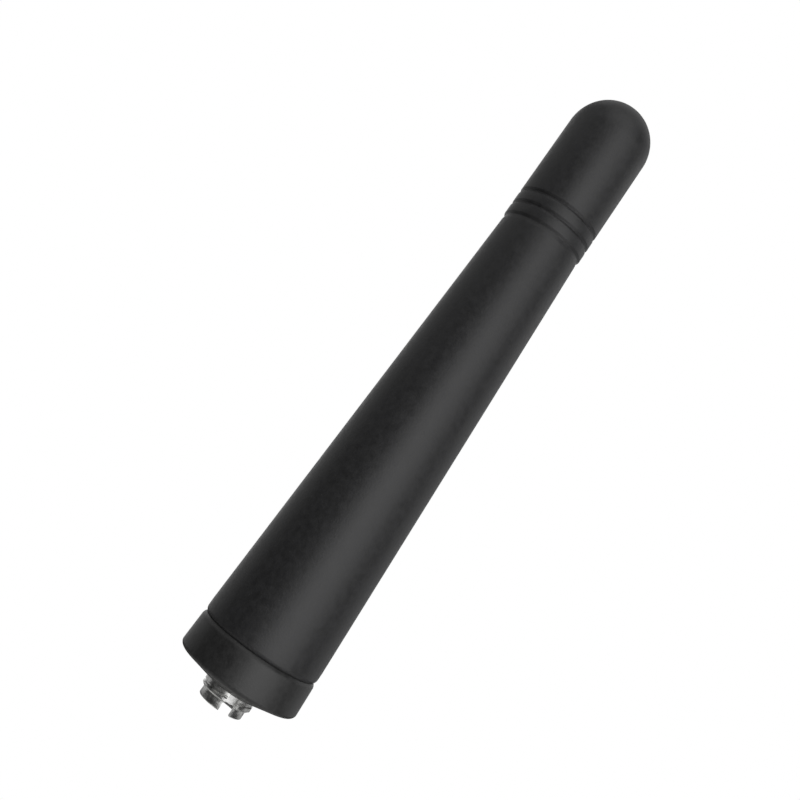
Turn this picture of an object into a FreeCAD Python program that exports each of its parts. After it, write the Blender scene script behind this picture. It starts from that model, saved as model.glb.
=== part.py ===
import FreeCAD, Part
import math
import os

# Short screw-on antenna of a handheld radio, in millimetres.
# +Z runs along the axis from the connector to the tip. The origin is on the axis, in the plane of the
# collar's seat, where the thread leaves the plastic.

# Connector thread, nose and socket
THREAD_DIAMETER = 6.35
THREAD_LENGTH = 1.25
NOSE_STEP = 0.4
NOSE_LENGTH = 1.1
NOSE_ROUNDING = 0.12
NOSE_WALL = 0.575
SLOT_WIDTH = 1.5
SLOT_COUNT = 2
SLOT_TURN_DEG = 18.0

# Connector shell inside the collar
NECK_RELIEF = 0.275
NECK_LENGTH = 1.5
COLLAR_OVER_FLANGE = 2.25
FLAT_DEPTH = 0.6
FLANGE_THICKNESS = 1.4
REAR_WALL = 0.8
REAR_LENGTH = 5.3
RETAINING_GROOVE_DEPTH = 0.3
RETAINING_GROOVE_WIDTH = 1.0

# Insulator and centre contact
INSULATOR_PROUD = 0.05
INSULATOR_FRONT_STEP = 0.25
INSULATOR_REAR_STEP = 0.5
INSULATOR_SHOULDER_ABOVE_NECK = 0.7
INSULATOR_CHAMFER = 0.12
INSULATOR_INSET = 0.6
CONTACT_DIAMETER = 1.6
CONTACT_SOCKET_DIAMETER = 0.95
CONTACT_SOCKET_DEPTH = 3.2
CONTACT_SLOT_WIDTH = 0.2
CONTACT_SLOT_LENGTH = 2.4
CONTACT_FLANGE_DIAMETER = 2.6
CONTACT_FLANGE_INSET = 2.0
CONTACT_FLANGE_THICKNESS = 1.0
CONTACT_TAIL_DIAMETER = 1.2

# Base collar
SEAT_LAND = 0.425
SEAT_RELIEF = 0.3
UNDERSIDE_ANGLE_DEG = 16.1
RIM_DIAMETER = 15.5
RIM_ROUNDING = 0.55
COLLAR_HEIGHT = 4.34
SIDE_LEAN = 0.0415
SEAM_ROUNDING = 0.32
SHEATH_WALL = 1.4
SPIGOT_HEIGHT = 7.4
SPIGOT_CHAMFER = 0.4
SHELF_THICKNESS = 0.8
TAIL_CLEARANCE = 0.1

# Retaining bead between spigot and sheath
BEAD_HEIGHT = 0.25
BEAD_WIDTH = 1.4
BEAD_ABOVE_SEAM = 3.0

# Sheath
FOOT_INSET = 0.06
FOOT_HEIGHT = 1.4
TAPER_LENGTH = 57.04
STEP_HEIGHT = 0.12
STEP_RISE = 0.5
BARREL_DIAMETER = 10.68
BARREL_LENGTH = 20.28
BARREL_TAPER = 0.09
TIP_WALL = 2.4
CAVITY_ROUNDING = 1.5

# Three turned grooves above the step
GROOVE_COUNT = 3
GROOVE_FIRST = 0.52
GROOVE_SPACING = 1.71
GROOVE_DEPTH = 0.18
GROOVE_ROUND = 0.3

# Winding, its former, its sleeve and the cup that feeds it
FORMER_DIAMETER = 4.2
FORMER_HEAD_THICKNESS = 2.0
WIRE_DIAMETER = 0.8
COIL_TURNS = 13
COIL_ARCS_PER_TURN = 8
WINDING_GAP = 0.04
SLEEVE_THICKNESS = 0.25
SLEEVE_GAP = 0.08
CUP_HEIGHT = 5.0
CUP_FLOOR = 1.2
CUP_WALL = 0.6
COIL_ABOVE_CUP_FLOOR = 0.6
TIP_GAP = 0.3

# Heights that follow from the sizes above
thread_end = -THREAD_LENGTH
nose_end = thread_end - NOSE_LENGTH
flange_top = NECK_LENGTH + FLANGE_THICKNESS
shell_top = flange_top + REAR_LENGTH
insulator_front = thread_end - INSULATOR_PROUD
insulator_shoulder = NECK_LENGTH + INSULATOR_SHOULDER_ABOVE_NECK
insulator_top = shell_top - INSULATOR_INSET
contact_flange_top = insulator_top - CONTACT_FLANGE_INSET
contact_flange_z = contact_flange_top - CONTACT_FLANGE_THICKNESS
seat_r = THREAD_DIAMETER / 2 + SEAT_LAND
rim_z = (RIM_DIAMETER / 2 - seat_r) * math.tan(math.radians(UNDERSIDE_ANGLE_DEG))
seam_z = rim_z + COLLAR_HEIGHT
step_z = seam_z + TAPER_LENGTH
tip_z = step_z + BARREL_LENGTH
spigot_top = seam_z + SPIGOT_HEIGHT
shelf_z = shell_top + SHELF_THICKNESS
cavity_top = tip_z - TIP_WALL
cup_floor_top = shelf_z + CUP_FLOOR
cup_top = shelf_z + CUP_HEIGHT
former_top = cavity_top - TIP_GAP
head_bottom = former_top - FORMER_HEAD_THICKNESS

# Radii that follow from the sizes above
thread_r = THREAD_DIAMETER / 2
neck_r = thread_r - NECK_RELIEF
nose_r = thread_r - NOSE_STEP
socket_r = nose_r - NOSE_WALL
insulator_front_r = socket_r - INSULATOR_FRONT_STEP
insulator_rear_r = insulator_front_r + INSULATOR_REAR_STEP
shell_rear_r = insulator_rear_r + REAR_WALL
flange_r = RIM_DIAMETER / 2 - COLLAR_OVER_FLANGE
contact_r = CONTACT_DIAMETER / 2
contact_flange_r = CONTACT_FLANGE_DIAMETER / 2
tail_r = CONTACT_TAIL_DIAMETER / 2
collar_top_r = RIM_DIAMETER / 2 - COLLAR_HEIGHT * SIDE_LEAN
foot_r = collar_top_r - FOOT_INSET
taper_start_r = collar_top_r - FOOT_HEIGHT * SIDE_LEAN
barrel_r = BARREL_DIAMETER / 2
taper_top_r = barrel_r - STEP_HEIGHT
tip_r = barrel_r - BARREL_TAPER
spigot_r = collar_top_r - SHEATH_WALL
former_r = FORMER_DIAMETER / 2
cup_inner_r = former_r - CUP_WALL
winding_r = former_r + WINDING_GAP + WIRE_DIAMETER / 2
sleeve_inner_r = winding_r + WIRE_DIAMETER / 2 + WINDING_GAP
sleeve_outer_r = sleeve_inner_r + SLEEVE_THICKNESS
cavity_tip_r = sleeve_outer_r + SLEEVE_GAP


def rounded_corner(before, corner, after, radius):
    """Returns the two ends and the middle of the arc that rounds a corner of an outline."""
    back = (before - corner).normalize()
    ahead = (after - corner).normalize()
    half_angle = back.getAngle(ahead) / 2
    bisector = (back + ahead).normalize()
    centre = corner + bisector * (radius / math.sin(half_angle))
    start = corner + back * (radius / math.tan(half_angle))
    end = corner + ahead * (radius / math.tan(half_angle))
    middle = centre - bisector * radius
    return start, middle, end


def turned(outline):
    """Revolves a closed outline about Z. Each corner is (radius, height) or (radius, height, rounding)."""
    corners = [FreeCAD.Vector(point[0], 0, point[1]) for point in outline]
    roundings = [point[2] if len(point) > 2 else 0 for point in outline]
    stretches = []
    for index, corner in enumerate(corners):
        if roundings[index] > 0:
            before = corners[index - 1]
            after = corners[(index + 1) % len(corners)]
            stretches.append(rounded_corner(before, corner, after, roundings[index]))
        else:
            stretches.append((corner, None, corner))
    edges = []
    for index, (start, middle, end) in enumerate(stretches):
        if middle is not None:
            edges.append(Part.Arc(start, middle, end).toShape())
        following = stretches[(index + 1) % len(stretches)][0]
        if end.distanceToPoint(following) > 1e-6:
            edges.append(Part.LineSegment(end, following).toShape())
    face = Part.Face(Part.Wire(edges))
    return face.revolve(FreeCAD.Vector(0, 0, 0), FreeCAD.Vector(0, 0, 1), 360)


def cylinder(radius, bottom, top):
    """Returns an upright cylinder on the axis between two heights."""
    return Part.makeCylinder(radius, top - bottom, FreeCAD.Vector(0, 0, bottom))


def cross_slots(width, reach, bottom, top, count, turn_deg):
    """Returns the slots cut in a tube's wall, evenly spaced from a first one turned from -Y towards +X."""
    slots = []
    for index in range(count):
        slot = Part.makeBox(width, reach, top - bottom, FreeCAD.Vector(-width / 2, -reach, bottom))
        angle = turn_deg + index * 360 / count
        slot.rotate(FreeCAD.Vector(0, 0, 0), FreeCAD.Vector(0, 0, 1), angle)
        slots.append(slot)
    return slots


def shell_envelope():
    """Returns the connector shell's outer form, which the collar is moulded round."""
    groove_middle = (flange_top + shell_top) / 2
    groove_bottom = groove_middle - RETAINING_GROOVE_WIDTH / 2
    groove_top = groove_middle + RETAINING_GROOVE_WIDTH / 2
    groove_r = shell_rear_r - RETAINING_GROOVE_DEPTH
    body = turned([
        (0, nose_end),
        (nose_r, nose_end, NOSE_ROUNDING),
        (nose_r, thread_end),
        (thread_r, thread_end),
        (thread_r, 0),
        (neck_r, 0),
        (neck_r, flange_top),
        (shell_rear_r, flange_top),
        (shell_rear_r, groove_bottom),
        (groove_r, groove_bottom),
        (groove_r, groove_top),
        (shell_rear_r, groove_top),
        (shell_rear_r, shell_top),
        (0, shell_top),
    ])
    flange = cylinder(flange_r, NECK_LENGTH, flange_top)
    across_flats = 2 * (flange_r - FLAT_DEPTH)
    corner = FreeCAD.Vector(-flange_r, -across_flats / 2, NECK_LENGTH)
    flats = Part.makeBox(2 * flange_r, across_flats, FLANGE_THICKNESS, corner)
    return body.fuse(flange.common(flats)).removeSplitter()


def connector_shell():
    """Returns the plated brass shell: thread, slotted nose, flange with flats, stepped bore."""
    socket = cylinder(socket_r, nose_end, insulator_front)
    front_bore = cylinder(insulator_front_r, insulator_front, insulator_shoulder)
    rear_bore = cylinder(insulator_rear_r, insulator_shoulder, shell_top)
    slots = cross_slots(SLOT_WIDTH, THREAD_DIAMETER, nose_end, 0, SLOT_COUNT, SLOT_TURN_DEG)
    return shell_envelope().cut([socket, front_bore, rear_bore] + slots)


def connector_insulator():
    """Returns the white bush, pushed in from the rear against the step in the shell's bore."""
    return turned([
        (contact_r, insulator_front),
        (insulator_front_r - INSULATOR_CHAMFER, insulator_front),
        (insulator_front_r, insulator_front + INSULATOR_CHAMFER),
        (insulator_front_r, insulator_shoulder),
        (insulator_rear_r, insulator_shoulder),
        (insulator_rear_r, insulator_top),
        (contact_flange_r, insulator_top),
        (contact_flange_r, contact_flange_z),
        (contact_r, contact_flange_z),
    ])


def centre_contact():
    """Returns the socket contact: split front, flange that seats in the insulator, tail for the cup."""
    body = turned([
        (0, insulator_front),
        (contact_r, insulator_front),
        (contact_r, contact_flange_z),
        (contact_flange_r, contact_flange_z),
        (contact_flange_r, contact_flange_top),
        (tail_r, contact_flange_top),
        (tail_r, cup_floor_top),
        (0, cup_floor_top),
    ])
    socket = cylinder(CONTACT_SOCKET_DIAMETER / 2, insulator_front, insulator_front + CONTACT_SOCKET_DEPTH)
    slot_top = insulator_front + CONTACT_SLOT_LENGTH
    slots = cross_slots(CONTACT_SLOT_WIDTH, contact_r, insulator_front, slot_top, SLOT_COUNT, SLOT_TURN_DEG)
    return body.cut([socket] + slots)


def bead_outline():
    """Returns the retaining bead on the spigot, which the sheath snaps over, as points going up."""
    middle = seam_z + BEAD_ABOVE_SEAM
    half = BEAD_WIDTH / 2
    return [
        (spigot_r, middle - half),
        (spigot_r + BEAD_HEIGHT, middle - half + BEAD_HEIGHT),
        (spigot_r + BEAD_HEIGHT, middle + half - BEAD_HEIGHT),
        (spigot_r, middle + half),
    ]


def base_collar():
    """Returns the moulded collar with its conical underside, seam shoulder, spigot and inner shelf."""
    hole_r = tail_r + TAIL_CLEARANCE
    body = turned([
        (hole_r, 0),
        (seat_r, 0),
        (RIM_DIAMETER / 2, rim_z, RIM_ROUNDING),
        (collar_top_r, seam_z, SEAM_ROUNDING),
        (spigot_r, seam_z),
    ] + bead_outline() + [
        (spigot_r, spigot_top - SPIGOT_CHAMFER),
        (spigot_r - SPIGOT_CHAMFER, spigot_top),
        (cavity_tip_r, spigot_top),
        (cavity_tip_r, shelf_z),
        (hole_r, shelf_z),
    ])
    relief = cylinder(thread_r, 0, SEAT_RELIEF)
    return body.cut([shell_envelope(), relief])


def sheath():
    """Returns the elastomer cover: tapered, stepped, grooved and domed outside, tapered hollow inside."""
    body = turned([
        (spigot_r, seam_z),
        (foot_r, seam_z, SEAM_ROUNDING),
        (taper_start_r, seam_z + FOOT_HEIGHT),
        (taper_top_r, step_z),
        (barrel_r, step_z + STEP_RISE),
        (tip_r, tip_z, tip_r),
        (0, tip_z),
        (0, cavity_top),
        (cavity_tip_r, cavity_top, CAVITY_ROUNDING),
        (cavity_tip_r, step_z),
        (spigot_r, spigot_top),
    ] + bead_outline()[::-1])
    grooves = []
    for index in range(GROOVE_COUNT):
        height = step_z + GROOVE_FIRST + index * GROOVE_SPACING
        ring_r = barrel_r - GROOVE_DEPTH + GROOVE_ROUND
        grooves.append(Part.makeTorus(ring_r, GROOVE_ROUND, FreeCAD.Vector(0, 0, height)))
    return body.cut(grooves)


def feed_ferrule():
    """Returns the brass cup that is soldered on the contact's tail and carries the lowest turns."""
    cup = cylinder(former_r, shelf_z, cup_top)
    inside = cylinder(cup_inner_r, cup_floor_top, cup_top)
    hole = cylinder(tail_r, shelf_z, cup_floor_top)
    return cup.cut([inside, hole])


def coil_former():
    """Returns the moulded rod inside the winding, with a plug for the cup and a centring head."""
    return turned([
        (0, cup_floor_top),
        (cup_inner_r, cup_floor_top),
        (cup_inner_r, cup_top),
        (former_r, cup_top),
        (former_r, head_bottom),
        (sleeve_outer_r, head_bottom),
        (sleeve_outer_r, former_top, CAVITY_ROUNDING),
        (0, former_top),
    ])


def coil_points(bottom, top):
    """Returns the corners of the many-sided spiral whose rounded line is the winding's centre line."""
    step = 2 * math.pi / COIL_ARCS_PER_TURN
    corner_r = winding_r / math.cos(step / 2)
    count = COIL_TURNS * COIL_ARCS_PER_TURN
    points = []
    for index in range(count + 1):
        angle = index * step
        height = bottom + (top - bottom) * index / count
        points.append(FreeCAD.Vector(corner_r * math.cos(angle), corner_r * math.sin(angle), height))
    return points


def helix_radiator():
    """Returns the wound wire, swept along tangent arcs from the cup to just under the former's head."""
    wire_r = WIRE_DIAMETER / 2
    points = coil_points(cup_floor_top + COIL_ABOVE_CUP_FLOOR, head_bottom - wire_r - 2 * WINDING_GAP)
    edges = []
    for before, corner, after in zip(points, points[1:], points[2:]):
        start = (before + corner) / 2
        end = (corner + after) / 2
        half_angle = (start - corner).getAngle(end - corner) / 2
        radius = start.distanceToPoint(corner) * math.tan(half_angle)
        middle = rounded_corner(before, corner, after, radius)[1]
        edges.append(Part.Arc(start, middle, end).toShape())
    path = Part.Wire(edges)
    section = Part.Wire(Part.Circle((points[0] + points[1]) / 2, points[1] - points[0], wire_r).toShape())
    return path.makePipe(Part.Face(section))


def coil_sleeve():
    """Returns the shrink tube over the winding, from the cup's floor to the former's head."""
    tube = cylinder(sleeve_outer_r, cup_floor_top, head_bottom)
    return tube.cut(cylinder(sleeve_inner_r, cup_floor_top, head_bottom))


PIECES = {
    "sheath": sheath,
    "base_collar": base_collar,
    "connector_shell": connector_shell,
    "connector_insulator": connector_insulator,
    "centre_contact": centre_contact,
    "feed_ferrule": feed_ferrule,
    "helix_radiator": helix_radiator,
    "coil_former": coil_former,
    "coil_sleeve": coil_sleeve,
}

os.makedirs("parts", exist_ok=True)
for name, build in PIECES.items():
    shape = build().Solids[0]
    shape.exportStep("parts/" + name + ".step")
    print(name, "valid", shape.isValid(), "volume", round(shape.Volume, 3), "mm3")
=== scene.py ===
"""Looks for the short handheld radio antenna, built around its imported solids.

All sizes are written in millimetres and turned to metres once, when a mesh is made. The frame is the part's
own: +Z runs from the connector to the domed tip, and the origin lies where the thread leaves the collar.
"""

import logging
import math
from collections.abc import Callable, Iterable, Sequence
from dataclasses import dataclass, field
from enum import Enum

import bmesh  # noqa: E402
import bpy  # noqa: E402
from bmesh.types import BMEdge, BMesh, BMVert  # noqa: E402
from mathutils import Euler, Matrix, Vector  # noqa: E402

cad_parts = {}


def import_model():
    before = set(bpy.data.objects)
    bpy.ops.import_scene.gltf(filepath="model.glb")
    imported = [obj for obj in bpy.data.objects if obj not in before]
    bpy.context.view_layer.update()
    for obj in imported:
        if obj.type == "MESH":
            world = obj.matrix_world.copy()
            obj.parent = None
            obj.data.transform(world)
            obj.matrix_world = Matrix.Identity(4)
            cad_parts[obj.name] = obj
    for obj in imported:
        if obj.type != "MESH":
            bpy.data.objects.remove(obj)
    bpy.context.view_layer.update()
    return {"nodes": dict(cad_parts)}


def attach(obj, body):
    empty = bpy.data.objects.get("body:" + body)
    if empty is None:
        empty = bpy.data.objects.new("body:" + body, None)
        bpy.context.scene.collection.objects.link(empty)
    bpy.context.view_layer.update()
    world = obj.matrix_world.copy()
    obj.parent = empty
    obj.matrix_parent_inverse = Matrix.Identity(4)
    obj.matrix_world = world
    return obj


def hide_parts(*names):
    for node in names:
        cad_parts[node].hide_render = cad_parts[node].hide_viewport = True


LOG = logging.getLogger("antenna")

MM = 0.001
BODY = "root"
AXIS_UP = (0.0, 0.0, 1.0)

# How close points lie, in millimetres, to be merged, and to count as lying on one ring
MERGE_REACH = 1e-4
RING_REACH = 2e-3

# Flat steps in a dome's quarter circle, and the angle from which an edge shows as a crisp one
DOME_STEPS = 40
SHARP_DEG = 32.0


class Turns(Enum):
    """How many flat steps a full turn is made of."""

    FINE = 192
    MEDIUM = 128
    COARSE = 96


class Fillet(Enum):
    """How many flat steps a fillet is made of."""

    SMALL = 3
    NOSE = 4
    MEDIUM = 5
    LARGE = 8


# Turned shapes


@dataclass(frozen=True)
class Corner:
    """One corner of a turned outline.

    Args:
        radius: distance from the axis, in millimetres.
        height: place along the axis, in millimetres.
        rounding: radius of the fillet on this corner, in millimetres, or 0 for a sharp one.
        fillet: how finely the fillet is divided.
    """

    radius: float
    height: float
    rounding: float = 0.0
    fillet: Fillet = Fillet.SMALL

    def point(self) -> Vector:
        """Returns the corner in the XZ plane, in metres."""
        return Vector((self.radius, 0.0, self.height)) * MM


def fillet_reach(before: Corner, corner: Corner, after: Corner) -> float:
    """Works out how far along each side a corner's fillet starts.

    Args:
        before: the corner that comes before it.
        corner: the corner that is rounded.
        after: the corner that comes after it.

    Returns:
        The distance from the corner to the fillet's ends, in metres.
    """
    back = before.point() - corner.point()
    ahead = after.point() - corner.point()
    return corner.rounding * MM / math.tan(back.angle(ahead) / 2)


def ring_edges(mesh: BMesh, corner: Corner) -> list[BMEdge]:
    """Finds the ring of edges that a corner made when it was spun.

    Args:
        mesh: the spun mesh.
        corner: the corner whose ring is wanted.

    Returns:
        The ring's edges.
    """

    def lies_on(vertex: BMVert) -> bool:
        """Returns whether a vertex lies on the corner's ring."""
        out = math.hypot(vertex.co.x, vertex.co.y) - corner.radius * MM
        up = vertex.co.z - corner.height * MM
        return max(abs(out), abs(up)) < RING_REACH * MM

    return [edge for edge in mesh.edges if all(lies_on(vertex) for vertex in edge.verts)]


def turned(corners: Sequence[Corner], turns: Turns, closed: bool = True, dome: float = 0.0) -> BMesh:
    """Spins an outline about Z and rounds its corners.

    Args:
        corners: the outline, in order.
        turns: how finely the full turn is divided.
        closed: whether the last corner joins the first; if not, both ends lie on the axis.
        dome: radius in millimetres of a quarter circle that leads from the axis to the first corner, or 0.

    Returns:
        The closed mesh, in metres, with its faces outwards.
    """
    mesh = bmesh.new()
    chain = [mesh.verts.new(corner.point()) for corner in corners]
    for start, end in zip(chain, chain[1:]):
        mesh.edges.new((start, end))
    if closed:
        mesh.edges.new((chain[-1], chain[0]))
    if dome:
        centre = Vector((0.0, 0.0, chain[0].co.z))
        bmesh.ops.spin(
            mesh,
            geom=[chain[0]],
            cent=centre,
            axis=(0.0, 1.0, 0.0),
            angle=-math.pi / 2,
            steps=DOME_STEPS,
        )
    bmesh.ops.remove_doubles(mesh, verts=mesh.verts[:], dist=MERGE_REACH * MM)
    bmesh.ops.spin(
        mesh,
        geom=mesh.verts[:] + mesh.edges[:],
        cent=(0.0, 0.0, 0.0),
        axis=AXIS_UP,
        angle=math.tau,
        steps=turns.value,
        use_merge=True,
    )
    bmesh.ops.remove_doubles(mesh, verts=mesh.verts[:], dist=MERGE_REACH * MM)
    bmesh.ops.recalc_face_normals(mesh, faces=mesh.faces[:])
    for index, corner in enumerate(corners):
        if corner.rounding:
            before = corners[index - 1]
            after = corners[(index + 1) % len(corners)]
            bmesh.ops.bevel(
                mesh,
                geom=ring_edges(mesh, corner),
                offset=fillet_reach(before, corner, after),
                offset_type="OFFSET",
                segments=corner.fillet.value,
                profile=0.5,
                affect="EDGES",
                material=-1,
            )
    return mesh


def block(size: Vector, place: Vector, turn_deg: float = 0.0) -> BMesh:
    """Makes a cutting block.

    Args:
        size: its full size, in millimetres.
        place: its centre, in millimetres.
        turn_deg: how far it is then turned about Z.

    Returns:
        The block's mesh, in metres.
    """
    mesh = bmesh.new()
    bmesh.ops.create_cube(mesh, size=1.0)
    bmesh.ops.scale(mesh, vec=size * MM, verts=mesh.verts[:])
    bmesh.ops.translate(mesh, vec=place * MM, verts=mesh.verts[:])
    turn = Matrix.Rotation(math.radians(turn_deg), 3, "Z")
    bmesh.ops.rotate(mesh, cent=(0.0, 0.0, 0.0), matrix=turn, verts=mesh.verts[:])
    return mesh


def to_object(mesh: BMesh, name: str) -> bpy.types.Object:
    """Turns a bmesh into an object in the scene and frees the bmesh.

    Args:
        mesh: the shape, in metres.
        name: the object's name.

    Returns:
        The new object, at the origin.
    """
    data = bpy.data.meshes.new(name)
    mesh.to_mesh(data)
    mesh.free()
    made = bpy.data.objects.new(name, data)
    bpy.context.scene.collection.objects.link(made)
    return made


def open_edges(data: bpy.types.Mesh) -> int:
    """Counts the edges of a mesh that don't join exactly two faces.

    Args:
        data: the mesh.

    Returns:
        Their number, which is 0 for a closed shape.
    """
    mesh = bmesh.new()
    mesh.from_mesh(data)
    count = sum(1 for edge in mesh.edges if len(edge.link_faces) != 2)
    mesh.free()
    return count


def cut(target: bpy.types.Object, cutters: Iterable[BMesh]) -> None:
    """Cuts shapes out of an object's mesh for good.

    It works in millimetres, so that small faces keep their shape.

    Args:
        target: the object that is cut.
        cutters: the shapes to take away.

    Raises:
        ValueError: if a cut leaves the mesh open.
    """
    for cutter in cutters:
        tool = to_object(cutter, target.name + "_cutter")
        for piece in (target, tool):
            piece.data.transform(Matrix.Scale(1.0 / MM, 4))
        step = target.modifiers.new("cut", "BOOLEAN")
        step.operation = "DIFFERENCE"
        step.solver = "EXACT"
        step.object = tool
        shape = target.evaluated_get(bpy.context.evaluated_depsgraph_get())
        result = bpy.data.meshes.new_from_object(shape)
        target.modifiers.clear()
        spent = target.data
        target.data = result
        bpy.data.meshes.remove(spent)
        target.data.transform(Matrix.Scale(MM, 4))
        spent = tool.data
        bpy.data.objects.remove(tool)
        bpy.data.meshes.remove(spent)
        if open_edges(target.data):
            raise ValueError(f"{target.name} is left open by a cut")


def finish_piece(piece: bpy.types.Object, material: bpy.types.Material, replaced: str) -> None:
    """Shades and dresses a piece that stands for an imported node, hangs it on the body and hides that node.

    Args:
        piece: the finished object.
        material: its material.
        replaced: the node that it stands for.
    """
    data = piece.data
    data.name = piece.name
    data.materials.clear()
    data.materials.append(material)
    data.shade_smooth()
    data.set_sharp_from_angle(angle=math.radians(SHARP_DEG))
    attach(piece, BODY)
    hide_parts(replaced)
    LOG.info("%s: %d faces", piece.name, len(data.polygons))


# Finishes

WHITE = "ffffff"
PALE_PAINT = "f4f4f2"

# The stretch of a finish's noise over which its colour changes, and that for its roughness
COLOUR_SPAN = (0.35, 0.65)
ROUGHNESS_SPAN = (0.3, 0.7)

# How many finer layers the patches of a finish have, and how much of a noise each finer layer keeps
PATCH_LAYERS = 3.0
PATCH_FALLOFF = 0.6
GRAIN_FALLOFF = 0.55

# How far light wanders below a glowing surface, in millimetres
GLOW_DEPTH = 0.4


def linear(code: str) -> tuple[float, float, float, float]:
    """Turns an sRGB hex colour to the linear values that shaders take.

    Args:
        code: the colour as six hex digits.

    Returns:
        Red, green, blue and an alpha of 1.
    """

    def channel(pair: str) -> float:
        """Returns the linear value of one pair of digits."""
        value = int(pair, 16) / 255
        return value / 12.92 if value <= 0.04045 else ((value + 0.055) / 1.055) ** 2.4

    return channel(code[0:2]), channel(code[2:4]), channel(code[4:6]), 1.0


def add_node(
    tree: bpy.types.NodeTree,
    kind: str,
    settings: dict[str, object] | None = None,
    values: dict[str | int, object] | None = None,
    links: dict[str | int, bpy.types.NodeSocket] | None = None,
) -> bpy.types.Node:
    """Adds one node with its settings and links.

    Args:
        tree: the node tree that gets it.
        kind: the node's type name.
        settings: the node's own properties.
        values: what its unlinked inputs are set to.
        links: the sockets that feed its inputs.

    Returns:
        The new node.
    """
    node = tree.nodes.new(kind)
    for name, value in (settings or {}).items():
        setattr(node, name, value)
    for name, value in (values or {}).items():
        node.inputs[name].default_value = value
    for name, source in (links or {}).items():
        tree.links.new(source, node.inputs[name])
    return node


def per_metre(size_mm: float) -> float:
    """Returns the texture scale at which one cell of a pattern has this size."""
    return 1.0 / (size_mm * MM)


@dataclass(frozen=True)
class Relief:
    """One bump pattern that a finish carries.

    Args:
        size_mm: size of one grain.
        depth_mm: height from valley to peak.
        detail: how many finer layers it has.
        stretch: factors on X, Y and Z that draw the grains out.
    """

    size_mm: float
    depth_mm: float
    detail: float = 2.0
    stretch: tuple[float, float, float] = (1.0, 1.0, 1.0)


@dataclass(frozen=True)
class Finish:
    """What every finish has: a name, two close colours, a span of roughness and its relief.

    Args:
        name: the material and the process that made its surface.
        dark: hex colour of the darker patches.
        light: hex colour of the lighter patches.
        patch_mm: size of those patches.
        smoothest: roughness of the smoothest places.
        roughest: roughness of the roughest places.
        metallic: 1 for a metal and 0 for anything else.
        ior: index of refraction, which a metal leaves at its default.
        reliefs: bump patterns, coarsest first.
        glow: share of the light that wanders below the surface before it comes out again.
    """

    name: str
    dark: str
    light: str
    patch_mm: float
    smoothest: float
    roughest: float
    metallic: float = 0.0
    ior: float = 1.5
    reliefs: tuple[Relief, ...] = ()
    glow: float = 0.0

    def material(self) -> bpy.types.Material:
        """Builds the procedural material.

        Returns:
            The material, on Object coordinates.
        """
        made = bpy.data.materials.new(self.name)
        made.use_nodes = True
        tree = made.node_tree
        tree.nodes.clear()
        place = add_node(tree, "ShaderNodeTexCoord").outputs["Object"]
        patches = add_node(
            tree,
            "ShaderNodeTexNoise",
            values={
                "Scale": per_metre(self.patch_mm),
                "Detail": PATCH_LAYERS,
                "Roughness": PATCH_FALLOFF,
            },
            links={"Vector": place},
        ).outputs["Fac"]
        ramp = add_node(tree, "ShaderNodeValToRGB", links={"Fac": patches})
        for stop, position, code in zip(ramp.color_ramp.elements, COLOUR_SPAN, (self.dark, self.light)):
            stop.position = position
            stop.color = linear(code)
        roughness = add_node(
            tree,
            "ShaderNodeMapRange",
            values={
                "From Min": ROUGHNESS_SPAN[0],
                "From Max": ROUGHNESS_SPAN[1],
                "To Min": self.smoothest,
                "To Max": self.roughest,
            },
            links={"Value": patches},
        ).outputs["Result"]
        shader = add_node(
            tree,
            "ShaderNodeBsdfPrincipled",
            values={
                "Metallic": self.metallic,
                "IOR": self.ior,
                "Subsurface Weight": self.glow,
                "Subsurface Radius": (1.0, 1.0, 1.0),
                "Subsurface Scale": GLOW_DEPTH * MM,
            },
            links={"Base Color": ramp.outputs["Color"], "Roughness": roughness},
        )
        normal = self.relief(tree, place)
        if normal is not None:
            tree.links.new(normal, shader.inputs["Normal"])
        add_node(tree, "ShaderNodeOutputMaterial", links={"Surface": shader.outputs["BSDF"]})
        return made

    def relief(self, tree: bpy.types.NodeTree, place: bpy.types.NodeSocket) -> bpy.types.NodeSocket | None:
        """Stacks the bump patterns.

        Args:
            tree: the material's node tree.
            place: the Object coordinates.

        Returns:
            The normal for the shader, or None if the finish has no relief.
        """
        normal = None
        for pattern in self.reliefs:
            drawn = add_node(
                tree, "ShaderNodeMapping", values={"Scale": pattern.stretch}, links={"Vector": place}
            ).outputs["Vector"]
            grain = add_node(
                tree,
                "ShaderNodeTexNoise",
                values={
                    "Scale": per_metre(pattern.size_mm),
                    "Detail": pattern.detail,
                    "Roughness": GRAIN_FALLOFF,
                },
                links={"Vector": drawn},
            ).outputs["Fac"]
            links = {"Height": grain}
            if normal is not None:
                links["Normal"] = normal
            normal = add_node(
                tree,
                "ShaderNodeBump",
                values={"Strength": 1.0, "Distance": pattern.depth_mm * MM},
                links=links,
            ).outputs["Normal"]
        return normal


# Soft black elastomer from a spark-eroded mould: an even, dry matte black whose fine grain breaks up the
# highlight. The real grit of about 0.08 mm is drawn at 0.3 mm, as coarse as it needs to be to show.
ELASTOMER = Finish(
    name="elastomer_moulded_matte",
    dark="171718",
    light="202021",
    patch_mm=0.8,
    smoothest=0.44,
    roughest=0.53,
    ior=1.45,
    reliefs=(Relief(size_mm=0.9, depth_mm=0.009), Relief(size_mm=0.3, depth_mm=0.016)),
)

# Glass-filled nylon from the same kind of mould: as black as the cover, a touch drier, with the same grit.
NYLON_BLACK = Finish(
    name="glass_filled_nylon_moulded",
    dark="171717",
    light="212121",
    patch_mm=0.7,
    smoothest=0.42,
    roughest=0.51,
    ior=1.46,
    reliefs=(Relief(size_mm=0.8, depth_mm=0.008), Relief(size_mm=0.26, depth_mm=0.014)),
)

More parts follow.
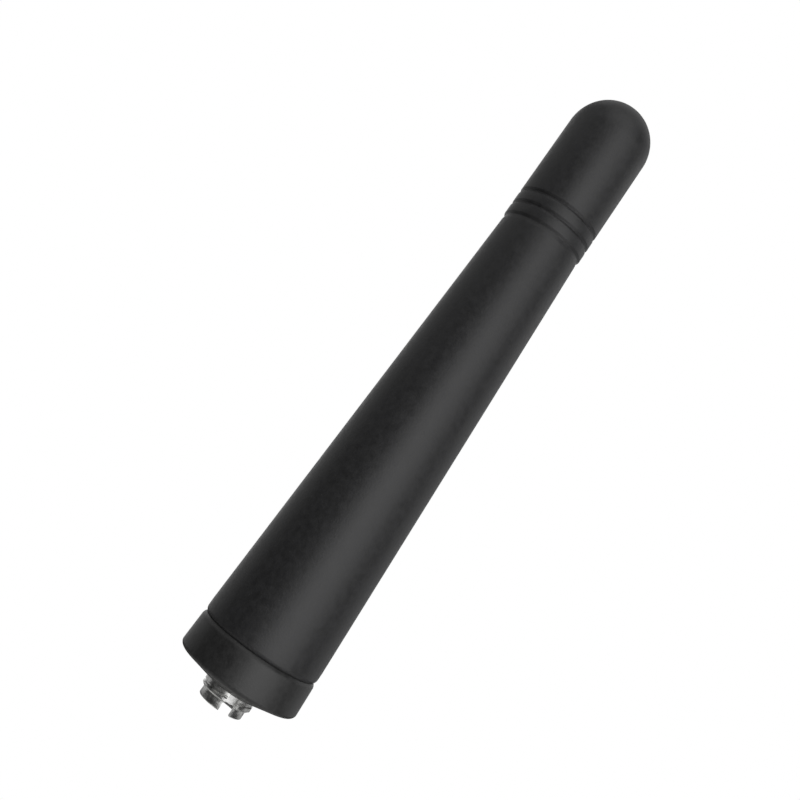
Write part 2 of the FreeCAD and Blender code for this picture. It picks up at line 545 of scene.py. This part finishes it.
# Turned brass under nickel: a cool grey half mirror, drawn out round the axis by the tool's fine lines and
# dulled in small dark patches by handling.
NICKEL = Finish(
    name="nickel_plated_brass_turned",
    dark="8a8a89",
    light="dcdcda",
    patch_mm=0.9,
    smoothest=0.19,
    roughest=0.31,
    metallic=1.0,
    reliefs=(
        Relief(size_mm=1.4, depth_mm=0.012, detail=1.0),
        Relief(size_mm=1.6, depth_mm=0.001, stretch=(1.0, 1.0, 14.0)),
    ),
)

# Turned white fluoropolymer: chalky white with a soft satin and faint tool lines round the axis.
FLUOROPOLYMER = Finish(
    name="fluoropolymer_turned",
    dark="f3f3f1",
    light="fafaf9",
    patch_mm=0.5,
    smoothest=0.38,
    roughest=0.5,
    ior=1.35,
    reliefs=(Relief(size_mm=1.2, depth_mm=0.004, stretch=(1.0, 1.0, 12.0)),),
    glow=0.25,
)

# Thin gold over nickel on a spring contact: warm and bright, with the same fine tool lines.
GOLD = Finish(
    name="gold_plated_contact",
    dark="c08a2e",
    light="e2b458",
    patch_mm=0.4,
    smoothest=0.2,
    roughest=0.34,
    metallic=1.0,
    reliefs=(Relief(size_mm=0.9, depth_mm=0.004, stretch=(1.0, 1.0, 16.0)),),
)

# Bare turned brass: yellow, slightly dulled by the flux of its solder joint.
BRASS = Finish(
    name="brass_turned",
    dark="8e6a34",
    light="c79c55",
    patch_mm=0.8,
    smoothest=0.24,
    roughest=0.42,
    metallic=1.0,
    reliefs=(Relief(size_mm=1.2, depth_mm=0.005, stretch=(1.0, 1.0, 16.0)),),
)

# Copper on drawn steel wire: red-brown, smooth, with slight tarnish.
COPPER = Finish(
    name="copper_plated_wire_drawn",
    dark="7d442b",
    light="c2774f",
    patch_mm=1.2,
    smoothest=0.25,
    roughest=0.4,
    metallic=1.0,
    reliefs=(Relief(size_mm=0.3, depth_mm=0.002),),
)

# Unfilled nylon as it leaves the mould: milky, slightly yellow and half matte.
NYLON_NATURAL = Finish(
    name="natural_nylon_moulded",
    dark="cfc6ad",
    light="ddd6c2",
    patch_mm=2.0,
    smoothest=0.36,
    roughest=0.46,
    ior=1.53,
    reliefs=(Relief(size_mm=0.5, depth_mm=0.004),),
)

# Shrunk polyolefin tube: soft black gloss with slight waves where it has drawn itself over the turns.
POLYOLEFIN = Finish(
    name="polyolefin_tube_shrunk",
    dark="151516",
    light="1e1e20",
    patch_mm=3.0,
    smoothest=0.3,
    roughest=0.38,
    reliefs=(Relief(size_mm=2.6, depth_mm=0.05), Relief(size_mm=0.3, depth_mm=0.004)),
)


# Sub-assemblies


@dataclass(frozen=True)
class Spigot:
    """The collar's spigot and the seam below it, which the cover and the collar share.

    The seam is a shallow V with rounded shoulders, half of it in each piece.
    """

    seam: float = 5.538
    seam_reach: float = 0.34
    seam_depth: float = 0.28
    seam_rounding: float = 0.6
    radius: float = 6.17
    top: float = 12.938
    chamfer: float = 0.4
    hollow_radius: float = 3.31
    bead_middle: float = 8.538
    bead_half: float = 0.7
    bead_height: float = 0.25

    def shoulder(self, outer_radius: float, side: float) -> list[Corner]:
        """Gives one side of the seam's V.

        Args:
            outer_radius: radius of the piece beside the seam, in millimetres.
            side: 1 for the piece above the seam, or -1 for the one below it.

        Returns:
            The corners from the shoulder to the root of the V.
        """
        return [
            Corner(outer_radius, self.seam + side * self.seam_reach, self.seam_rounding, Fillet.MEDIUM),
            Corner(outer_radius - self.seam_depth, self.seam),
        ]

    def bead(self) -> list[Corner]:
        """Gives the snap bead that holds the cover.

        Returns:
            Its corners, from the seam's side up.
        """
        low = self.bead_middle - self.bead_half
        high = self.bead_middle + self.bead_half
        return [
            Corner(self.radius, low),
            Corner(self.radius + self.bead_height, low + self.bead_height),
            Corner(self.radius + self.bead_height, high - self.bead_height),
            Corner(self.radius, high),
        ]


@dataclass(frozen=True)
class ShellForm:
    """The outside of the connector shell from its thread back, which the collar is moulded round."""

    thread_radius: float = 3.175
    neck_radius: float = 2.9
    flange_bottom: float = 1.5
    flange_top: float = 2.9
    flange_radius: float = 5.5
    rear_radius: float = 3.25
    top: float = 8.2


@dataclass
class Cover:
    """The moulded elastomer sheath: tapered body, small step, three grooves, plain barrel and domed tip."""

    spigot: Spigot = Spigot()
    foot_radius: float = 7.51
    foot_height: float = 1.4
    foot_rounding: float = 0.4
    step: float = 62.578
    step_height: float = 0.12
    step_rounding: float = 0.2
    barrel_radius: float = 5.34
    barrel_taper: float = 0.09
    tip: float = 82.857
    cavity_top: float = 80.458
    cavity_rounding: float = 1.5
    groove_count: int = 3
    groove_first: float = 0.54
    groove_spacing: float = 1.75
    groove_depth: float = 0.24
    groove_half: float = 0.3
    groove_lip: float = 0.1
    groove_root: float = 0.07
    piece: bpy.types.Object | None = field(default=None, repr=False)

    def tip_radius(self) -> float:
        """Returns the barrel's radius where the dome starts, in millimetres."""
        return self.barrel_radius - self.barrel_taper

    def grooves(self) -> list[Corner]:
        """Gives the turned grooves, the last of which ends at the step.

        Returns:
            Their corners, from the tip's side down.
        """
        found: list[Corner] = []
        for index in reversed(range(self.groove_count)):
            middle = self.step + self.groove_first + index * self.groove_spacing
            radius = self.barrel_radius - self.barrel_taper * (middle - self.step) / (self.tip - self.step)
            foot = Corner(radius, middle - self.groove_half, self.step_rounding)
            if index == 0:
                foot = Corner(self.barrel_radius - self.step_height, self.step, self.step_rounding)
            found += [
                Corner(radius, middle + self.groove_half, self.groove_lip),
                Corner(radius - self.groove_depth, middle, self.groove_root),
                foot,
            ]
        return found

    def outline(self) -> list[Corner]:
        """Gives the cover's outline, apart from its dome.

        Returns:
            The corners from the dome's foot down the outside, and up the hollow to the axis.
        """
        return [
            Corner(self.tip_radius(), self.tip - self.tip_radius()),
            *self.grooves(),
            Corner(self.foot_radius, self.spigot.seam + self.foot_height, self.foot_rounding),
            *self.spigot.shoulder(self.foot_radius, side=1.0),
            Corner(self.spigot.radius, self.spigot.seam),
            *self.spigot.bead(),
            Corner(self.spigot.radius, self.spigot.top),
            Corner(self.spigot.hollow_radius, self.step),
            Corner(self.spigot.hollow_radius, self.cavity_top, self.cavity_rounding, Fillet.LARGE),
            Corner(0.0, self.cavity_top),
        ]

    def build(self) -> None:
        """Spins the cover with its dome."""
        mesh = turned(self.outline(), Turns.FINE, closed=False, dome=self.tip_radius())
        self.piece = to_object(mesh, "cover")

    def dress(self) -> None:
        """Gives the cover its elastomer."""
        finish_piece(self.piece, ELASTOMER.material(), "sheath")


@dataclass
class Collar:
    """The moulded base: narrow seat, conical underside, rounded rim, leaning flank and the spigot inside."""

    spigot: Spigot = Spigot()
    shell: ShellForm = ShellForm()
    seat_radius: float = 3.6
    seat_rounding: float = 0.08
    seat_relief: float = 0.3
    rim: float = 1.198
    rim_radius: float = 7.749
    rim_rounding: float = 0.55
    top_radius: float = 7.57
    shelf: float = 9.0
    tail_hole_radius: float = 0.7
    piece: bpy.types.Object | None = field(default=None, repr=False)

    def outside(self) -> list[Corner]:
        """Gives the outer half of the collar's outline.

        Returns:
            The corners from the seat round the rim and over the spigot.
        """
        return [
            Corner(self.shell.thread_radius, 0.0),
            Corner(self.seat_radius, 0.0, self.seat_rounding),
            Corner(self.rim_radius, self.rim, self.rim_rounding, Fillet.LARGE),
            *self.spigot.shoulder(self.top_radius, side=-1.0),
            Corner(self.spigot.radius, self.spigot.seam),
            *self.spigot.bead(),
            Corner(self.spigot.radius, self.spigot.top - self.spigot.chamfer),
            Corner(self.spigot.radius - self.spigot.chamfer, self.spigot.top),
        ]

    def inside(self) -> list[Corner]:
        """Gives the inner half of the collar's outline.

        Returns:
            The corners down the hollow, through the shelf and round the connector shell.
        """
        return [
            Corner(self.spigot.hollow_radius, self.spigot.top),
            Corner(self.spigot.hollow_radius, self.shelf),
            Corner(self.tail_hole_radius, self.shelf),
            Corner(self.tail_hole_radius, self.shell.top),
            Corner(self.shell.rear_radius, self.shell.top),
            Corner(self.shell.rear_radius, self.shell.flange_top),
            Corner(self.shell.flange_radius, self.shell.flange_top),
            Corner(self.shell.flange_radius, self.shell.flange_bottom),
            Corner(self.shell.neck_radius, self.shell.flange_bottom),
            Corner(self.shell.neck_radius, self.seat_relief),
            Corner(self.shell.thread_radius, self.seat_relief),
        ]

    def build(self) -> None:
        """Spins the collar."""
        self.piece = to_object(turned(self.outside() + self.inside(), Turns.FINE), "collar")

    def dress(self) -> None:
        """Gives the collar its glass-filled nylon."""
        finish_piece(self.piece, NYLON_BLACK.material(), "base_collar")


@dataclass
class Connector:
    """The plated shell with its thread and slots, the white insulator and the socket contact.

    The thread is drawn shallower than a full one. An overcut is how far a cut reaches past the metal.
    """

    form: ShellForm = ShellForm()
    thread_end: float = -1.25
    thread_pitch: float = 0.794
    thread_depth: float = 0.2
    thread_root: float = 0.1
    thread_chamfer: float = 0.18
    thread_flank_deg: float = 30.0
    thread_phase_deg: float = -23.0
    thread_overcut: float = 0.12
    thread_steps: int = 64
    nose_radius: float = 2.775
    nose_end: float = -2.35
    nose_rounding: float = 0.12
    nose_lip: float = 0.05
    socket_radius: float = 2.2
    slot_width: float = 1.5
    slot_overcut: float = 1.0
    slot_turn_deg: float = 18.0
    flat_depth: float = 0.6
    flat_overcut: float = 0.002
    groove_middle: float = 5.55
    groove_half: float = 0.5
    groove_depth: float = 0.3
    insulator_front: float = -1.3
    insulator_radius: float = 1.95
    insulator_rounding: float = 0.12
    insulator_shoulder: float = 2.2
    insulator_rear_radius: float = 2.45
    insulator_top: float = 7.6
    contact_radius: float = 0.8
    contact_rounding: float = 0.05
    contact_flange_radius: float = 1.3
    contact_flange_bottom: float = 4.6
    contact_flange_top: float = 5.6
    tail_radius: float = 0.6
    tail_top: float = 10.2
    contact_bore_radius: float = 0.475
    contact_bore_rounding: float = 0.06
    contact_bore_top: float = 1.9
    contact_slot_width: float = 0.2
    contact_slot_top: float = 1.1
    contact_slot_overcut: float = 1.0
    shell: bpy.types.Object | None = field(default=None, repr=False)
    insulator: bpy.types.Object | None = field(default=None, repr=False)
    contact: bpy.types.Object | None = field(default=None, repr=False)

    def shell_outside(self) -> list[Corner]:
        """Gives the outer half of the shell's outline.

        Returns:
            The corners from the nose's mouth back to the shell's rear end.
        """
        groove_radius = self.form.rear_radius - self.groove_depth
        groove_bottom = self.groove_middle - self.groove_half
        groove_top = self.groove_middle + self.groove_half
        return [
            Corner(self.socket_radius, self.nose_end, self.nose_lip),
            Corner(self.nose_radius, self.nose_end, self.nose_rounding, Fillet.NOSE),
            Corner(self.nose_radius, self.thread_end),
            Corner(self.form.thread_radius - self.thread_chamfer, self.thread_end),
            Corner(self.form.thread_radius, self.thread_end + self.thread_chamfer),
            Corner(self.form.thread_radius, 0.0),
            Corner(self.form.neck_radius, 0.0),
            Corner(self.form.neck_radius, self.form.flange_bottom),
            Corner(self.form.flange_radius, self.form.flange_bottom),
            Corner(self.form.flange_radius, self.form.flange_top),
            Corner(self.form.rear_radius, self.form.flange_top),
            Corner(self.form.rear_radius, groove_bottom),
            Corner(groove_radius, groove_bottom),
            Corner(groove_radius, groove_top),
            Corner(self.form.rear_radius, groove_top),
            Corner(self.form.rear_radius, self.form.top),
        ]

    def shell_bore(self) -> list[Corner]:
        """Gives the shell's stepped bore.

        Returns:
            The corners from the shell's rear end to its socket.
        """
        return [
            Corner(self.insulator_rear_radius, self.form.top),
            Corner(self.insulator_rear_radius, self.insulator_shoulder),
            Corner(self.insulator_radius, self.insulator_shoulder),
            Corner(self.insulator_radius, self.insulator_front),
            Corner(self.socket_radius, self.insulator_front),
        ]

    def insulator_outline(self) -> list[Corner]:
        """Gives the insulator's closed outline.

        Returns:
            The corners up the outside, and then down the contact's bore.
        """
        return [
            Corner(self.contact_radius, self.insulator_front),
            Corner(self.insulator_radius, self.insulator_front, self.insulator_rounding),
            Corner(self.insulator_radius, self.insulator_shoulder),
            Corner(self.insulator_rear_radius, self.insulator_shoulder),
            Corner(self.insulator_rear_radius, self.insulator_top),
            Corner(self.contact_flange_radius, self.insulator_top),
            Corner(self.contact_flange_radius, self.contact_flange_bottom),
            Corner(self.contact_radius, self.contact_flange_bottom),
        ]

    def contact_outline(self) -> list[Corner]:
        """Gives the contact's outline.

        Returns:
            The corners from the bottom of its bore round to the end of its tail.
        """
        return [
            Corner(0.0, self.contact_bore_top),
            Corner(self.contact_bore_radius, self.contact_bore_top),
            Corner(self.contact_bore_radius, self.insulator_front, self.contact_bore_rounding),
            Corner(self.contact_radius, self.insulator_front, self.contact_rounding),
            Corner(self.contact_radius, self.contact_flange_bottom),
            Corner(self.contact_flange_radius, self.contact_flange_bottom),
            Corner(self.contact_flange_radius, self.contact_flange_top),
            Corner(self.tail_radius, self.contact_flange_top),
            Corner(self.tail_radius, self.tail_top),
            Corner(0.0, self.tail_top),
        ]

    def thread_cutter(self) -> BMesh:
        """Sweeps the thread's V along a right-hand screw line, as the tool does.

        Returns:
            The closed shape that is cut from the blank.
        """
        mesh = bmesh.new()
        root = self.form.thread_radius - self.thread_depth
        mouth = self.form.thread_radius + self.thread_overcut
        half_root = self.thread_root / 2
        flank = math.tan(math.radians(self.thread_flank_deg))
        half_mouth = half_root + (self.thread_depth + self.thread_overcut) * flank
        start = self.thread_end - self.thread_pitch
        corners = [
            Corner(root, start - half_root),
            Corner(root, start + half_root),
            Corner(mouth, start + half_mouth),
            Corner(mouth, start - half_mouth),
        ]
        face = mesh.faces.new([mesh.verts.new(corner.point()) for corner in corners])
        count = round((self.thread_pitch - start) / self.thread_pitch * self.thread_steps)
        bmesh.ops.spin(
            mesh,
            geom=[face, *face.edges, *face.verts],
            cent=(0.0, 0.0, 0.0),
            axis=AXIS_UP,
            dvec=(0.0, 0.0, self.thread_pitch / self.thread_steps * MM),
            angle=math.tau * count / self.thread_steps,
            steps=count,
        )
        turn = Matrix.Rotation(math.radians(self.thread_phase_deg), 3, "Z")
        bmesh.ops.rotate(mesh, cent=(0.0, 0.0, 0.0), matrix=turn, verts=mesh.verts[:])
        bmesh.ops.recalc_face_normals(mesh, faces=mesh.faces[:])
        return mesh

    def slot_cutter(self) -> BMesh:
        """Makes the saw cut that goes right across the nose and the thread.

        Returns:
            A block that ends at the seat's plane.
        """
        height = self.slot_overcut - self.nose_end
        size = Vector((self.slot_width, 4 * self.form.thread_radius, height))
        return block(size, Vector((0.0, 0.0, -height / 2)), self.slot_turn_deg)

    def flat_cutters(self) -> list[BMesh]:
        """Makes the cuts that mill the flange's flats.

        Returns:
            One block for each side.
        """
        height = self.form.flange_top - self.form.flange_bottom + self.flat_overcut
        size = Vector((3 * self.form.flange_radius, self.form.flange_radius, height))
        middle = (self.form.flange_top + self.form.flange_bottom) / 2
        reach = self.form.flange_radius - self.flat_depth + self.form.flange_radius / 2
        return [block(size, Vector((0.0, side * reach, middle))) for side in (-1.0, 1.0)]

    def contact_slot_cutter(self) -> BMesh:
        """Makes the fine saw cut that lets the contact spring.

        Returns:
            A block that goes right across it.
        """
        height = self.contact_slot_top - self.insulator_front + self.contact_slot_overcut
        size = Vector((self.contact_slot_width, 4 * self.contact_radius, height))
        return block(size, Vector((0.0, 0.0, self.contact_slot_top - height / 2)), self.slot_turn_deg)

    def build(self) -> None:
        """Turns, slots and threads the shell, then turns the insulator and the contact."""
        shell = turned(self.shell_outside() + self.shell_bore(), Turns.MEDIUM)
        self.shell = to_object(shell, "connector_body")
        cut(self.shell, [self.slot_cutter(), *self.flat_cutters(), self.thread_cutter()])
        self.insulator = to_object(turned(self.insulator_outline(), Turns.COARSE), "insulator")
        contact = turned(self.contact_outline(), Turns.COARSE, closed=False)
        self.contact = to_object(contact, "socket_contact")
        cut(self.contact, [self.contact_slot_cutter()])

    def dress(self) -> None:
        """Gives the three pieces their nickel, fluoropolymer and gold."""
        finish_piece(self.shell, NICKEL.material(), "connector_shell")
        finish_piece(self.insulator, FLUOROPOLYMER.material(), "connector_insulator")
        finish_piece(self.contact, GOLD.material(), "centre_contact")


@dataclass
class Winding:
    """The pieces inside the cover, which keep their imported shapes."""

    nodes: dict[str, bpy.types.Object]
    finishes: dict[str, Finish] = field(
        default_factory=lambda: {
            "feed_ferrule": BRASS,
            "helix_radiator": COPPER,
            "coil_former": NYLON_NATURAL,
            "coil_sleeve": POLYOLEFIN,
        }
    )

    def dress(self) -> None:
        """Gives each inner node the material of the real piece."""
        for name, finish in self.finishes.items():
            data = self.nodes[name].data
            data.materials.clear()
            data.materials.append(finish.material())
            LOG.info("%s: %s", name, finish.name)


# Studio


@dataclass(frozen=True)
class Softbox:
    """One rectangular studio lamp.

    Args:
        name: the lamp's name.
        azimuth_deg: where it stands round the antenna, 0 being the camera's side and 90 its right.
        elevation_deg: how high it stands.
        width: its width, in millimetres.
        height: its height, in millimetres.
        radiance: how bright its face is, 1 being the white of the background.
        distance: how far it stands from the antenna's middle, in millimetres.
    """

    name: str
    azimuth_deg: float
    elevation_deg: float
    width: float
    height: float
    radiance: float
    distance: float = 500.0

    def build(self, aim: Vector) -> bpy.types.Object:
        """Hangs the lamp.

        Args:
            aim: the point it faces, in metres.

        Returns:
            The lamp's object.
        """
        data = bpy.data.lights.new(self.name, "AREA")
        data.shape = "RECTANGLE"
        data.size = self.width * MM
        data.size_y = self.height * MM
        data.energy = self.radiance * math.pi * data.size * data.size_y
        lamp = bpy.data.objects.new(self.name, data)
        azimuth, elevation = math.radians(self.azimuth_deg), math.radians(self.elevation_deg)
        away = Vector(
            (
                math.sin(azimuth) * math.cos(elevation),
                -math.cos(azimuth) * math.cos(elevation),
                math.sin(elevation),
            )
        )
        lamp.location = aim + away * self.distance * MM
        lamp.rotation_euler = (-away).to_track_quat("-Z", "Y").to_euler()
        bpy.context.scene.collection.objects.link(lamp)
        return lamp


@dataclass
class Studio:
    """Camera, lamps, white surroundings, the backdrop behind the antenna and the pale floor.

    Lengths and places are in millimetres, and the camera is turned about X, Y and Z in that order.
    """

    camera_place: tuple[float, float, float] = (0.0, -121.66, 23.44)
    camera_turn_deg: tuple[float, float, float] = (98.0969, -34.4477, -3.2361)
    camera_near: float = 1.0
    camera_far: float = 10000.0
    sensor: float = 36.0
    lens: float = 47.149
    floor_height: float = -100.0
    floor_size: float = 220.0
    pool_inner: float = 30.0
    pool_outer: float = 105.0
    pool_whiteness: float = 0.55
    backdrop_away: float = 450.0
    backdrop_size: float = 500.0
    backdrop_shift: float = -60.0
    aim: tuple[float, float, float] = (0.0, 0.0, 40.0)
    softboxes: tuple[Softbox, ...] = (
        Softbox("key", 30.0, 4.0, 740.0, 532.0, 1.68),
        Softbox("key_core", 22.0, 8.0, 268.0, 532.0, 0.8),
        Softbox("overhead", 0.0, 60.0, 577.0, 364.0, 1.3),
        Softbox("overhead_back", 180.0, 65.0, 577.0, 364.0, 0.6),
        Softbox("rim_right", 125.0, 8.0, 500.0, 532.0, 0.5),
        Softbox("rim_left", -125.0, 8.0, 500.0, 532.0, 0.45),
        Softbox("fill_right", 120.0, 33.0, 420.0, 320.0, 0.33),
        Softbox("fill_left", -78.0, 33.0, 420.0, 320.0, 0.47),
        Softbox("bounce", 80.0, -50.0, 400.0, 364.0, 0.6),
        Softbox("bounce_front", 36.0, -36.0, 440.0, 300.0, 1.3),
    )
    surround: float = 0.095

    def build_camera(self) -> None:
        """Places the camera where the photograph was taken from."""
        data = bpy.data.cameras.new("camera")
        data.sensor_fit = "HORIZONTAL"
        data.sensor_width = self.sensor
        data.lens = self.lens
        data.clip_start = self.camera_near * MM
        data.clip_end = self.camera_far * MM
        camera = bpy.data.objects.new("camera", data)
        camera.location = Vector(self.camera_place) * MM
        camera.rotation_euler = Euler([math.radians(angle) for angle in self.camera_turn_deg])
        bpy.context.scene.collection.objects.link(camera)
        bpy.context.scene.camera = camera

    def build_lamps(self) -> None:
        """Hangs the softboxes round the antenna's middle."""
        for softbox in self.softboxes:
            softbox.build(Vector(self.aim) * MM)

    def seen_directly(self, tree: bpy.types.NodeTree, kinds: Sequence[str]) -> bpy.types.NodeSocket:
        """Tells the rays that show the background from those that light the object.

        Args:
            tree: the world's or the surface's node tree.
            kinds: the Light Path outputs that count, the first one plain and the rest added to it.

        Returns:
            A value of 1 for those rays, and 0 for the rest.
        """
        path = add_node(tree, "ShaderNodeLightPath")
        total = path.outputs[kinds[0]]
        for name in kinds[1:]:
            total = add_node(
                tree,
                "ShaderNodeMath",
                settings={"operation": "ADD", "use_clamp": True},
                links={0: total, 1: path.outputs[name]},
            ).outputs["Value"]
        return total

    def build_world(self) -> None:
        """Makes the white surroundings, which only lift the shadows a little."""
        world = bpy.data.worlds.new("surroundings")
        bpy.context.scene.world = world
        world.use_nodes = True
        tree = world.node_tree
        tree.nodes.clear()
        dim, white = (
            add_node(tree, "ShaderNodeBackground", values={"Color": linear(WHITE), "Strength": strength})
            for strength in (self.surround, 1.0)
        )
        seen = self.seen_directly(tree, ["Is Camera Ray", "Is Transmission Ray"])
        both = add_node(
            tree,
            "ShaderNodeMixShader",
            links={0: seen, 1: dim.outputs["Background"], 2: white.outputs["Background"]},
        )
        add_node(tree, "ShaderNodeOutputWorld", links={"Surface": both.outputs["Shader"]})

    def white_surface(
        self, name: str, share: Callable[[bpy.types.NodeTree], bpy.types.NodeSocket]
    ) -> bpy.types.Material:
        """Makes a pale painted surface that shows as the background's white.

        Args:
            name: the material's name.
            share: adds the nodes that say how much of the plain white is shown.

        Returns:
            The material.
        """
        material = bpy.data.materials.new(name)
        material.use_nodes = True
        tree = material.node_tree
        tree.nodes.clear()
        paint = add_node(tree, "ShaderNodeBsdfDiffuse", values={"Color": linear(PALE_PAINT)})
        glow = add_node(tree, "ShaderNodeEmission", values={"Color": linear(WHITE), "Strength": 1.0})
        both = add_node(
            tree,
            "ShaderNodeMixShader",
            links={0: share(tree), 1: paint.outputs["BSDF"], 2: glow.outputs["Emission"]},
        )
        add_node(tree, "ShaderNodeOutputMaterial", links={"Surface": both.outputs["Shader"]})
        return material

    def floor_share(self, tree: bpy.types.NodeTree) -> bpy.types.NodeSocket:
        """Lets the lit paint show near the antenna, where its shadow falls, and the plain white further out.

        Args:
            tree: the floor's node tree.

        Returns:
            How much of the plain white is shown.
        """
        place = add_node(tree, "ShaderNodeTexCoord").outputs["Object"]
        flat = add_node(
            tree,
            "ShaderNodeVectorMath",
            settings={"operation": "MULTIPLY"},
            values={1: (1.0, 1.0, 0.0)},
            links={0: place},
        ).outputs["Vector"]
        away = add_node(tree, "ShaderNodeVectorMath", settings={"operation": "LENGTH"}, links={0: flat})
        fade = add_node(
            tree,
            "ShaderNodeMapRange",
            settings={"interpolation_type": "SMOOTHSTEP"},
            values={
                "From Min": self.pool_inner * MM,
                "From Max": self.pool_outer * MM,
                "To Min": self.pool_whiteness,
                "To Max": 1.0,
            },
            links={"Value": away.outputs["Value"]},
        )
        seen = self.seen_directly(tree, ["Is Camera Ray", "Is Transmission Ray"])
        return add_node(
            tree,
            "ShaderNodeMath",
            settings={"operation": "MULTIPLY"},
            links={0: seen, 1: fade.outputs["Result"]},
        ).outputs["Value"]

    def backdrop_share(self, tree: bpy.types.NodeTree) -> bpy.types.NodeSocket:
        """Shows the backdrop as plain white, in the metal's reflections too.

        Args:
            tree: the backdrop's node tree.

        Returns:
            How much of the plain white is shown.
        """
        return self.seen_directly(tree, ["Is Camera Ray", "Is Glossy Ray", "Is Transmission Ray"])

    def build_floor(self) -> None:
        """Lays the plain pale floor well below the antenna."""
        mesh = bmesh.new()
        bmesh.ops.create_grid(mesh, x_segments=1, y_segments=1, size=self.floor_size / 2 * MM)
        bmesh.ops.translate(mesh, vec=Vector((0.0, 0.0, self.floor_height * MM)), verts=mesh.verts[:])
        floor = to_object(mesh, "floor")
        floor.data.materials.append(self.white_surface("pale_floor", self.floor_share))

    def build_backdrop(self) -> None:
        """Stands the white backdrop behind the antenna."""
        mesh = bmesh.new()
        bmesh.ops.create_grid(mesh, x_segments=1, y_segments=1, size=self.backdrop_size / 2 * MM)
        turn = Matrix.Rotation(math.radians(90.0), 3, "X")
        bmesh.ops.rotate(mesh, cent=(0.0, 0.0, 0.0), matrix=turn, verts=mesh.verts[:])
        height = self.backdrop_size / 2 + self.floor_height
        place = Vector((self.backdrop_shift, self.backdrop_away, height)) * MM
        bmesh.ops.translate(mesh, vec=place, verts=mesh.verts[:])
        backdrop = to_object(mesh, "backdrop")
        backdrop.data.materials.append(self.white_surface("white_backdrop", self.backdrop_share))

    def build(self) -> None:
        """Sets up everything round the object."""
        bpy.context.scene.view_settings.view_transform = "Standard"
        self.build_camera()
        self.build_lamps()
        self.build_world()
        self.build_floor()
        self.build_backdrop()


def main() -> None:
    """Builds and dresses every sub-assembly in order."""
    logging.basicConfig(level=logging.INFO, format="%(message)s")
    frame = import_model()
    steps: list[tuple[str, Callable[[], None]]] = []
    for part in (Cover(), Collar(), Connector()):
        name = type(part).__name__
        steps += [(f"{name} built", part.build), (f"{name} dressed", part.dress)]
    steps.append(("Winding dressed", Winding(frame["nodes"]).dress))
    steps.append(("Studio built", Studio().build))
    for report, step in steps:
        step()
        LOG.info(report)


if __name__ == "__main__":
    main()
